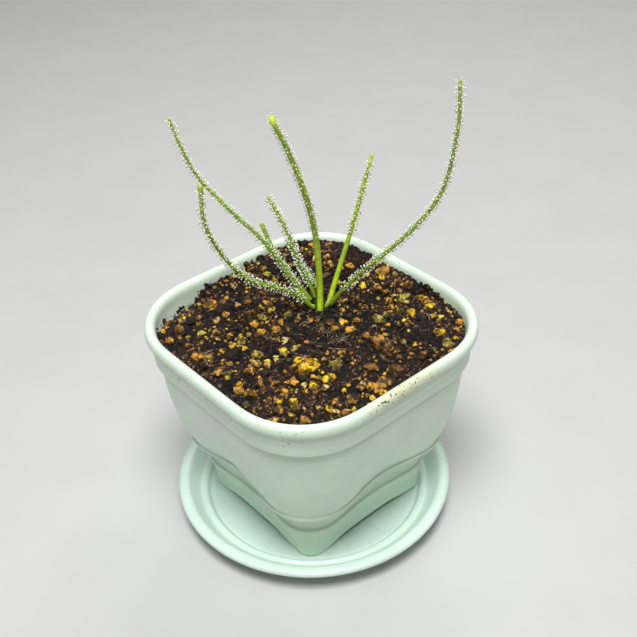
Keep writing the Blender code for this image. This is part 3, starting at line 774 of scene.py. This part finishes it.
class SUNDEW_OT_soil(bpy.types.Operator):
    """Lays the peat: a fine grid shaped to the pot, roughened in three sizes and closed underneath"""
    bl_idname = "sundew.soil"
    bl_label = "Peat"

    def execute(self, context):
        settings = context.scene.sundew_soil
        bed = added(bpy.ops.mesh.primitive_grid_add, x_subdivisions=settings.cuts, y_subdivisions=settings.cuts,
                    size=2.0)
        for vertex in bed.data.vertices:
            u, v = vertex.co.x, vertex.co.y
            share = max(abs(u), abs(v))
            bearing = math.atan2(v, u)
            x, y = at_bearing(bearing, self.wall_reach(bearing) * share)
            vertex.co = Vector((x, y, soil_level(x, y))) * MM
        displace(bed, "CLOUDS", 3.2 * MM, 1.1 * MM, "Z")
        displace(bed, "VORONOI", 1.3 * MM, -1.0 * MM, "Z")
        displace(bed, "CLOUDS", 0.6 * MM, 0.6 * MM, "Z")
        edit(bed, "DESELECT")
        bpy.ops.mesh.select_non_manifold()
        bpy.ops.mesh.extrude_region_move(TRANSFORM_OT_translate={"value": (0, 0, -8 * MM)})
        # The lower edge is drawn in a little and laid flat at a height of 48 mm
        bpy.ops.transform.resize(value=(0.985, 0.985, 0.0), center_override=(POT_X * MM, POT_Y * MM, 48 * MM))
        bpy.ops.mesh.edge_face_add()
        bpy.ops.object.mode_set(mode="OBJECT")
        peat = milled_peat("milled_peat", settings.dark, settings.brown)
        hand_over(bed, "peat_bed", [peat], ["soil"], 80)
        return {"FINISHED"}

    def wall_reach(self, bearing):
        """How far the inner wall is from the pot's middle on a bearing, mm."""
        low, high = 30.0, 50.0
        for _ in range(18):
            middle = (low + high) / 2
            inside = edge_distance(*at_bearing(bearing, middle)) > 0
            low, high = (middle, high) if inside else (low, middle)
        return low


class SUNDEW_OT_granules(bpy.types.Operator):
    """Strews the soil with granules of pumice, baked clay and zeolite, crumbs of peat and loose fibres"""
    bl_idname = "sundew.granules"
    bl_label = "Granules and fibres"

    def execute(self, context):
        settings = context.scene.sundew_soil
        draw = random.Random(5)
        coarse = [self.template(3, seed) for seed in range(5)]
        fine = [self.template(2, seed + 10) for seed in range(6)]
        taken = []
        large = {kind: [] for kind in LARGE_GRANULES}
        for kind, places in LARGE_GRANULES.items():
            for x, y, width in places:
                taken.append((x, y, width / 2))
                large[kind].append(self.seat(x, y, width / 2, draw))
        self.middling(large, taken, draw)
        small = self.strew(settings.granules, taken, draw)
        for kind, finish in GRAINS.items():
            parts = [spread(f"{kind}_large", coarse, large[kind], draw)]
            if small[kind]:
                parts.append(spread(f"{kind}_small", fine, small[kind], draw))
            hand_over(joined(parts), f"granules_{kind}", [mineral_grain(*finish)], angle=50)
        bits = [self.template(1, seed + 20) for seed in range(6)]
        self.crumble(settings.crumbs, bits, context, draw)
        self.lay_fibres(settings.fibres, draw)
        discard(coarse + fine + bits)
        return {"FINISHED"}

    def template(self, subdivisions, seed):
        """One granule 2 mm across: a ball broken off along a dozen random faces and roughened."""
        grain = added(bpy.ops.mesh.primitive_ico_sphere_add, subdivisions=subdivisions, radius=MM)
        draw = random.Random(seed)
        faces = [(Vector([draw.gauss(0, 1) for _ in range(3)]).normalized(), draw.uniform(0.62, 0.98))
                 for _ in range(12)]
        for vertex in grain.data.vertices:
            spot = vertex.co / MM
            broken = min([1.2] + [depth / spot.dot(face) for face, depth in faces if spot.dot(face) > 0.1])
            rough = noise.noise(spot * 2.2 + Vector((0, seed * 3.3, 0)))
            pitted = noise.noise(spot * 5.0 + Vector((0, 0, seed * 5.7)))
            vertex.co *= broken * (1.0 + 0.28 * rough + 0.16 * pitted)
        return grain

    def middling(self, large, taken, draw):
        """Adds the middling granules, clear of the wall, the crown, the bare patch and the large ones."""
        kinds = [kind for kind, share in SMALL_SHARES.items() for _ in range(share)]
        places = random.Random(11)
        count = len(taken) + MIDDLING
        while len(taken) < count:
            radius = places.uniform(*MIDDLING_RADII)
            x, y = places.uniform(-32.0, 32.0), places.uniform(-32.0, 32.0)
            walled = edge_distance(x + POT_X, y + POT_Y, 33.8) <= radius + 0.5
            planted = math.hypot(x - CROWN[0], y - CROWN[1]) <= 4.6 + radius
            bare = math.hypot(x - 5.4, y + 3.5) < 8.0
            crowded = any(math.hypot(x + POT_X - a, y + POT_Y - b) < 1.05 * (radius + r) for a, b, r in taken)
            if not (walled or planted or bare or crowded):
                taken.append((x + POT_X, y + POT_Y, radius))
                large[draw.choice(kinds)].append(self.seat(x + POT_X, y + POT_Y, radius, draw))

    def seat(self, x, y, radius, draw):
        """Where a granule lies: turned at random, squashed a little, and sunk into the peat by nearly half."""
        bed = bpy.context.scene.objects["peat_bed"]
        struck, spot, _, _ = bed.ray_cast(Vector((x, y, 80)) * MM, Vector((0, 0, -1)))
        level = spot.z if struck else soil_level(x, y) * MM
        turn = turned("X", draw) @ turned("Y", draw)
        spin = turned("Z", draw)
        shape = stretched(radius, radius * draw.uniform(0.7, 1.0), radius * draw.uniform(0.6, 0.85))
        height = level + radius * GRAIN_LIFT * MM
        return Matrix.Translation(Vector((x * MM, y * MM, height))) @ spin @ shape @ turn

    def strew(self, count, taken, draw):
        """Places for the small granules, thin round the crown and in front of it, clear of the large ones."""
        places = {kind: [] for kind in LARGE_GRANULES}
        kinds = [kind for kind, share in SMALL_SHARES.items() for _ in range(share)]
        laid = 0
        while laid < count:
            radius = 0.4 + 1.4 * draw.random() ** 1.8
            x, y = POT_X + draw.uniform(-34, 34), POT_Y + draw.uniform(-34, 34)
            planted = from_crown(x, y) < 3.6 + radius
            # Few lie in front of the crown, and elsewhere they gather in patches of about 9 mm
            bare = math.hypot(x - 6.0, y + 4.0) < 10.0 and draw.random() < 0.72
            bare = bare or noise.noise(Vector((x * 0.11, y * 0.11, 5.0))) + draw.uniform(-0.45, 0.3) < -0.1
            crowded = any(math.hypot(x - a, y - b) < 0.85 * (radius + r) for a, b, r in taken)
            if edge_distance(x, y) < radius * 0.8 or planted or bare or crowded:
                continue
            taken.append((x, y, radius))
            places[draw.choice(kinds)].append(self.seat(x, y, radius, draw))
            laid += 1
        return places

    def crumble(self, count, templates, context, draw):
        """Loose crumbs on the peat, and some that stick to the inner wall above it."""
        places = []
        for _ in range(count):
            x, y = POT_X + draw.uniform(-34, 34), POT_Y + draw.uniform(-34, 34)
            if edge_distance(x, y) > 0.3:
                long = stretched(1.0, 1.0, draw.uniform(0.8, 2.6))
                places.append(self.seat(x, y, 0.12 + 0.4 * draw.random() ** 1.6, draw) @ long)
        # On the wall they hang in clumps near seven bearings: bearing in radians, height over the soil in mm
        clumps = [(draw.choice((2.5, 2.2, 2.0, 1.3, -0.3, 0.05, 0.4)) + draw.gauss(0, 0.16), draw.uniform(0.2, 1.6))
                  for _ in range(26)]
        for _ in range(300):
            bearing, lift = draw.choice(clumps)
            bearing += draw.gauss(0, 0.018)
            reach = 30.0
            while edge_distance(*at_bearing(bearing, reach)) > 0.05:
                reach += 0.1
            x, y = at_bearing(bearing, reach)
            level = soil_level(x, y) + abs(lift + draw.gauss(0, 0.45))
            size = 0.2 + 0.75 * draw.random() ** 2.0
            if level < 60.0:
                places.append(moved(x, y, level) @ stretched(size, size, size))
        crumbs = spread("peat_crumbs", templates, places, draw)
        settings = context.scene.sundew_soil
        loose = milled_peat("loose_peat_crumbs", settings.dark, settings.brown)
        hand_over(crumbs, "peat_crumbs", [loose], angle=50)

    def lay_fibres(self, count, draw):
        """Thin pale threads of moss and root, 2 to 7 mm long, and the long ones in front of the crown."""
        templates = []
        for bend in (0.25, 0.6, 1.1):
            points = [(0.5 * math.sin(bend * (t / 5 - 0.5) * 3), t / 5 - 0.5, 0.12 * math.sin(t * 1.3))
                      for t in range(6)]
            templates.append(thread("fibre", points, [0.018] * 6, 0))
        places = []
        for _ in range(count):
            x, y = POT_X + draw.uniform(-30, 30), POT_Y + draw.uniform(-30, 30)
            if draw.random() < 0.4:
                x, y = draw.gauss(2, 8), draw.gauss(-6, 7)
            if edge_distance(x, y) < 3 or from_crown(x, y) < 2.4:
                continue
            long = draw.uniform(2.4, 6.5)
            turn = turned("Z", draw) @ Matrix.Rotation(draw.gauss(0, 0.15), 4, "X")
            shape = stretched(long * draw.uniform(0.5, 1.0), long, long)
            places.append(moved(x, y, soil_level(x, y) + 0.85) @ turn @ shape)
        laid = spread("fibres", templates, places, draw)
        discard(templates)
        for path in LONG_FIBRES:
            line = curve_through([(x, y, soil_level(x, y) + 1.0) for x, y in path], 6)
            laid = joined([laid, thread("fibre", line, [0.09] * len(line), 1)])
        straw = mineral_grain("dry_moss_fibre", "#5E4836", "#B8A284", 0.7)
        hand_over(laid, "moss_fibres", [straw], angle=80)


# The plant

def curve_through(points, steps=12):
    """Closely spaced points along a Catmull-Rom curve through the given ones."""
    knots = [Vector(p) for p in points]
    knots = [2 * knots[0] - knots[1]] + knots + [2 * knots[-1] - knots[-2]]
    fine = []
    for a, b, c, d in zip(knots, knots[1:], knots[2:], knots[3:]):
        for i in range(steps):
            t = i / steps
            fine.append(0.5 * (2 * b + (c - a) * t + (2 * a - 5 * b + 4 * c - d) * t * t
                               + (3 * b - 3 * c + d - a) * t ** 3))
    fine.append(knots[-2])
    return fine


def lengths_along(line):
    lengths = [0.0]
    for a, b in zip(line, line[1:]):
        lengths.append(lengths[-1] + (b - a).length)
    return lengths


def thread(name, points, radii, resolution):
    """A bevelled curve through points in mm with a radius in mm at each, made a mesh."""
    path = added(bpy.ops.curve.primitive_bezier_curve_add)
    path.name = name
    path.data.splines.clear()
    spline = path.data.splines.new("POLY")
    spline.points.add(len(points) - 1)
    for knot, point, radius in zip(spline.points, points, radii):
        knot.co = (point[0] * MM, point[1] * MM, point[2] * MM, 1.0)
        knot.radius = radius
    path.data.dimensions = "3D"
    path.data.bevel_depth = MM
    path.data.bevel_resolution = resolution
    path.data.use_fill_caps = True
    take(path)
    bpy.ops.object.convert(target="MESH")
    return bpy.context.active_object


class SUNDEW_OT_crown(bpy.types.Operator):
    """Makes the crown: a short dark stem with a rounded top and two pale young buds"""
    bl_idname = "sundew.crown"
    bl_label = "Crown"

    def execute(self, context):
        x, y = CROWN[0] + POT_X, CROWN[1] + POT_Y
        stem = skin([round_ring(x, y, radius, z, 20) for radius, z in STEM])
        apply_modifier(stem, "SUBSURF", levels=2, render_levels=2)
        displace(stem, "CLOUDS", 0.9 * MM, 0.35 * MM)
        hand_over(stem, "crown_stem", [leaf_skin("sundew_crown", "#3B4212", "#55661A", "#8CA32A")],
                  ["crown"])
        buds = joined([thread("bud", [(x + a, y + b, z) for a, b, z in points], radii, 2) for points, radii in BUDS])
        colour_along(buds, [Vector((x, y, 57.4)), Vector((x, y - 1, 60.5))])
        hand_over(buds, "young_buds", [leaf_skin("sundew_bud", "#7FA01C", "#A9C83C", "#C9DE6A")])
        return {"FINISHED"}


def colour_along(piece, line):
    """Stores on every point how far along the leaf it is, from 0 at the base to 1 at the tip."""
    lengths = lengths_along(line)
    values = []
    for vertex in piece.data.vertices:
        spot = vertex.co / MM
        nearest = min(range(len(line)), key=lambda i: (line[i] - spot).length_squared)
        values.append(lengths[nearest] / lengths[-1])
    store = piece.data.attributes.new("along", "FLOAT", "POINT")
    store.data.foreach_set("value", values)


class SUNDEW_OT_leaves(bpy.types.Operator):
    """Grows the eight thread leaves with their tentacles, each tentacle ending in a drop of dew"""
    bl_idname = "sundew.leaves"
    bl_label = "Leaves"

    def execute(self, context):
        settings = context.scene.sundew_leaf
        skins = {
            "bright": leaf_skin("sundew_leaf_bright", "#C2DE2E", "#A6C436", "#D2EA46"),
            "olive": leaf_skin("sundew_leaf_olive", "#809A22", "#94B036", "#B4C858"),
        }
        stalks = tentacle_stalk("tentacle_hair", "#A9C048", "#D8E49A")
        dew = mucilage_drop("mucilage_dew_painted_glint", settings.dew)
        # One hair 1 mm long, which is stretched to its reach, and one drop of 1 mm radius, which is scaled down
        hair = added(bpy.ops.mesh.primitive_cone_add, vertices=4, radius1=0.075 * MM, radius2=0.04 * MM, depth=MM,
                     end_fill_type="NGON", location=(0, 0, 0.5 * MM))
        bpy.ops.object.transform_apply(location=True, rotation=True, scale=True)
        drop = added(bpy.ops.mesh.primitive_uv_sphere_add, segments=8, ring_count=5, radius=MM)
        for name, row in LEAVES.items():
            self.grow(name, row, settings, skins, stalks, dew, hair, drop)
        discard([hair, drop])
        return {"FINISHED"}

    def grow(self, name, row, settings, skins, stalks, dew, hair, drop):
        points, base, tip, bare_base, bare_tip, drop_scale, finish = row
        draw = random.Random(name)
        line = [p + Vector((POT_X, POT_Y, 0)) for p in curve_through(points)]
        lengths = lengths_along(line)
        full = lengths[-1]
        radii = [base + (tip - base) * run / full for run in lengths]
        line, radii = self.end_of(name, line, radii)
        opened = full
        if name == CURLED:
            full = lengths_along(line)[-1] - CURL_BARE
            opened = full - UNCURLING
        blade = thread(name, line, radii, 2)
        colour_along(blade, line)
        hand_over(blade, f"{name}_blade", [skins[finish]], [name], 60)
        haired = full - bare_base - bare_tip
        hairs, drops = self.tentacles(line, radii, bare_base, haired, opened, drop_scale, settings, draw)
        threads = spread(f"{name}_hairs", [hair], hairs, draw)
        hand_over(threads, f"{name}_hairs", [stalks], angle=80)
        wet = spread(f"{name}_dew", [drop], drops, draw)
        hand_over(wet, f"{name}_dew", [dew], angle=80)

    def end_of(self, name, line, radii):
        """Rounds the tip off, or rolls it up towards the front where the leaf is still uncurling."""
        ahead = (line[-1] - line[-2]).normalized()
        if name == CURLED:
            front = Vector((-0.63, -0.74, 0.25)).normalized()
            front = (front - ahead * front.dot(ahead)).normalized()
            middle = line[-1] + front * CURL_RADIUS
            for i in range(1, 10):
                turn = i * CURL_TURN
                reach = CURL_RADIUS - CURL_TIGHTER * i
                line.append(middle + (ahead * math.sin(turn) - front * math.cos(turn)) * reach)
                radii.append(0.66 + 0.02 * i if i < 6 else 0.94 - 0.05 * i)
            ahead = (line[-1] - line[-2]).normalized()
        if name == SWOLLEN:
            radii[-len(SWOLLEN_RADII):] = SWOLLEN_RADII
        width = radii[-1]
        for share in (0.4, 0.75, 0.95):
            line.append(line[-1] + ahead * width * 0.33)
            radii.append(width * math.sqrt(1 - share * share))
        return line, radii

    def tentacles(self, line, radii, bare, haired, opened, drop_scale, settings, draw):
        """Places of the hairs and of the drops on their ends, turned by the golden angle from one to the next."""
        lengths = lengths_along(line)
        hairs, drops = [], []
        low, high = CAD_BOX
        count = int(haired * settings.per_mm * drop_scale)
        for k in range(count):
            run = bare + haired * (k + draw.random()) / count
            i = max(n for n in range(len(line) - 1) if lengths[n] <= run)
            share = (run - lengths[i]) / (lengths[i + 1] - lengths[i])
            point = line[i].lerp(line[i + 1], share)
            tangent = (line[i + 1] - line[i]).normalized()
            side = tangent.orthogonal().normalized()
            side.rotate(Matrix.Rotation(k * GOLDEN_ANGLE + draw.uniform(-0.4, 0.4), 3, tangent))
            out = (side + tangent * draw.uniform(0.0, 0.5)).normalized()
            # The first hairs have under half their reach, and from 1.65 mm on they have all of it
            young = min(1.0, 0.45 + (run - bare) / 3.0)
            reach = settings.reach / MM * draw.uniform(0.7, 1.12) * young
            size = settings.drop / MM * draw.uniform(0.75, 1.25) * drop_scale
            # A tip that is still uncurling has short hairs, nearly dry
            if run > opened:
                reach, size = reach * 0.85, size * 0.75
            end = point + out * (radii[i] + reach)
            # None passes the solids' outer box
            if any(end[n] + size > high[n] / MM or end[n] - size < low[n] / MM for n in range(3)):
                continue
            turn = out.to_track_quat("Z", "Y").to_matrix().to_4x4()
            foot = Matrix.Translation((point + out * radii[i] * 0.8) * MM)
            hairs.append(foot @ turn @ stretched(1.0, 1.0, reach + radii[i] * 0.2))
            drops.append(Matrix.Translation(end * MM) @ turn @ stretched(size, size, size * 1.2))
        return hairs, drops


class SUNDEW_OT_stage(bpy.types.Operator):
    """Sets the floor, the lights and the camera at the photograph's angle"""
    bl_idname = "sundew.stage"
    bl_label = "Stage"

    def execute(self, context):
        settings = context.scene.sundew_stage
        floor = added(bpy.ops.mesh.primitive_plane_add, size=6.0)
        floor.name = "floor"
        floor.data.materials.append(studio_paper("backdrop_paper", settings.floor))
        context.scene.view_settings.view_transform = "Standard"
        world = bpy.data.worlds.new("studio")
        context.scene.world = world
        world.use_nodes = True
        world.node_tree.nodes["Background"].inputs["Color"].default_value = linear("#F2F4F5")
        world.node_tree.nodes["Background"].inputs["Strength"].default_value = 0.14
        self.light("key_light", settings.key, *KEY_LIGHT)
        self.light("back_light", settings.back, *BACK_LIGHT)
        self.camera(context)
        return {"FINISHED"}

    def light(self, name, power, size, place, target):
        lamp = added(bpy.ops.object.light_add, type="AREA", location=place)
        lamp.name = name
        lamp.data.energy = power
        lamp.data.size = size
        aim = Vector(target) - Vector(place)
        lamp.rotation_euler = aim.to_track_quat("-Z", "Y").to_euler()

    def camera(self, context):
        """The photograph's own view, with its slight roll."""
        place, target = (Vector((x + POT_X, y + POT_Y, z)) for x, y, z in (VIEW_FROM, VIEW_AT))
        back = (place - target).normalized()
        across = Vector((0, 0, 1)).cross(back).normalized()
        up = back.cross(across)
        roll = math.radians(VIEW_ROLL)
        right = across * math.cos(roll) + up * math.sin(roll)
        top = up * math.cos(roll) - across * math.sin(roll)
        camera = added(bpy.ops.object.camera_add)
        camera.name = "camera"
        camera.matrix_world = Matrix.Translation(place * MM) @ Matrix((right, top, back)).transposed().to_4x4()
        camera.data.lens = VIEW_LENS
        camera.data.sensor_width = 36.0
        camera.data.clip_start = 0.01
        context.scene.camera = camera


class SUNDEW_PT_panel(bpy.types.Panel):
    """Lists the pieces in the order they are made"""
    bl_label = "Potted Sundew"
    bl_idname = "SUNDEW_PT_panel"
    bl_space_type = "VIEW_3D"
    bl_region_type = "UI"
    bl_category = "Sundew"

    def draw(self, context):
        for kind in OPERATORS:
            self.layout.operator(kind.bl_idname)
        for name, group in SETTINGS.items():
            box = self.layout.box()
            box.label(text=group.__doc__)
            for key in group.__annotations__:
                box.prop(getattr(context.scene, name), key)


OPERATORS = [SUNDEW_OT_saucer, SUNDEW_OT_pot, SUNDEW_OT_soil, SUNDEW_OT_granules, SUNDEW_OT_crown,
             SUNDEW_OT_leaves, SUNDEW_OT_stage]
SETTINGS = {"sundew_saucer": SundewSaucerSettings, "sundew_pot": SundewPotSettings,
            "sundew_soil": SundewSoilSettings, "sundew_leaf": SundewLeafSettings,
            "sundew_stage": SundewStageSettings}


def register():
    for kind in [*SETTINGS.values(), *OPERATORS, SUNDEW_PT_panel]:
        bpy.utils.register_class(kind)
    for name, group in SETTINGS.items():
        setattr(bpy.types.Scene, name, bpy.props.PointerProperty(type=group))


def unregister():
    for name in SETTINGS:
        delattr(bpy.types.Scene, name)
    for kind in reversed([*SETTINGS.values(), *OPERATORS, SUNDEW_PT_panel]):
        bpy.utils.unregister_class(kind)


def main():
    register()
    bpy.ops.sundew.saucer()
    bpy.ops.sundew.pot()
    bpy.ops.sundew.soil()
    bpy.ops.sundew.granules()
    bpy.ops.sundew.crown()
    bpy.ops.sundew.leaves()
    bpy.ops.sundew.stage()


if __name__ == "__main__":
    main()
